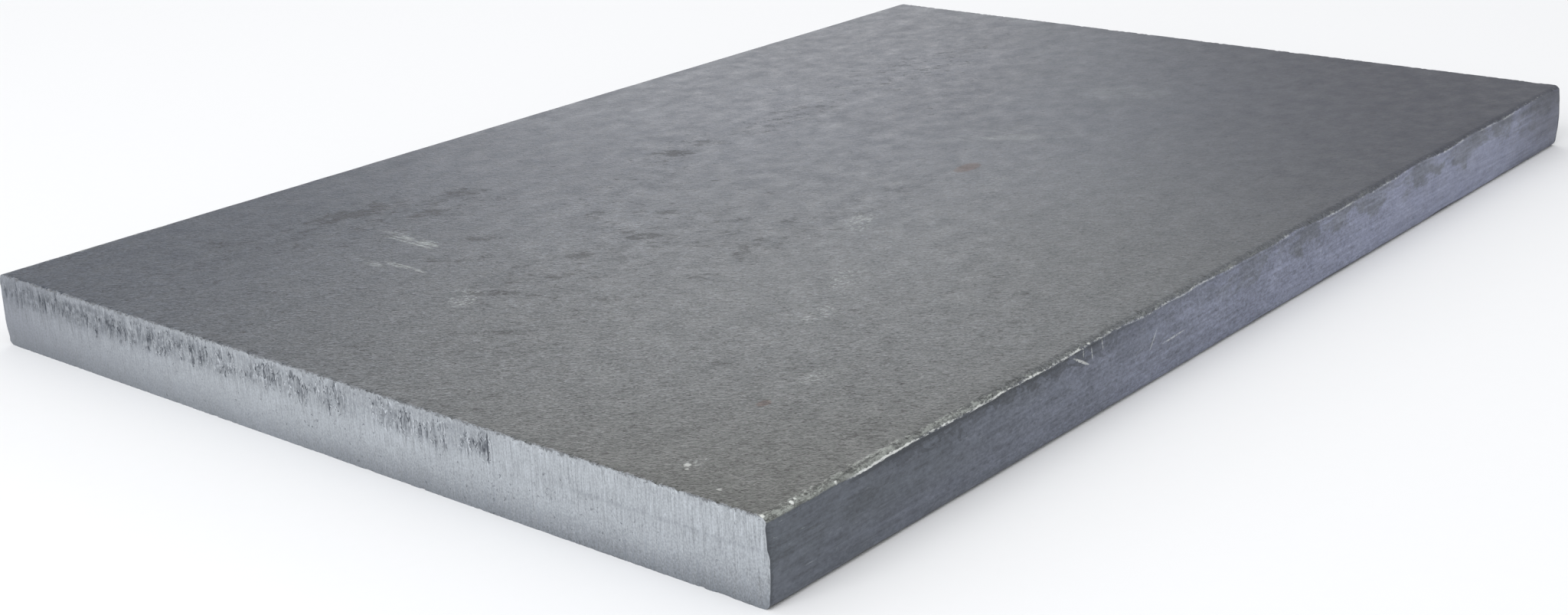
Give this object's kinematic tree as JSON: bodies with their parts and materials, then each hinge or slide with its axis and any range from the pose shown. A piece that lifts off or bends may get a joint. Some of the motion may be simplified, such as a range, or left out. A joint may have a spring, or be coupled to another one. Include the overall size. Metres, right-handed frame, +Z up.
{
  "type": "steel plate",
  "caption": "Thick rectangular hot-rolled steel plate with rounded rolled long edges and square cut ends, for welding, drilling or machining.",
  "frame": {"origin": "middle of the bottom face, on the surface the plate lies on", "axes": "+Z up through the thickness, +X along the length from one cut end to the other, +Y across the width between the rolled edges"},
  "size_m": [0.3, 0.2, 0.015],
  "materials": {
    "hot_rolled_steel": "dull grey mill surface with thin scale and dark flecks, brighter cut ends, semi-matte"
  },
  "bodies": {
    "root": {"plate": "hot_rolled_steel"}
  },
  "joints": []
}
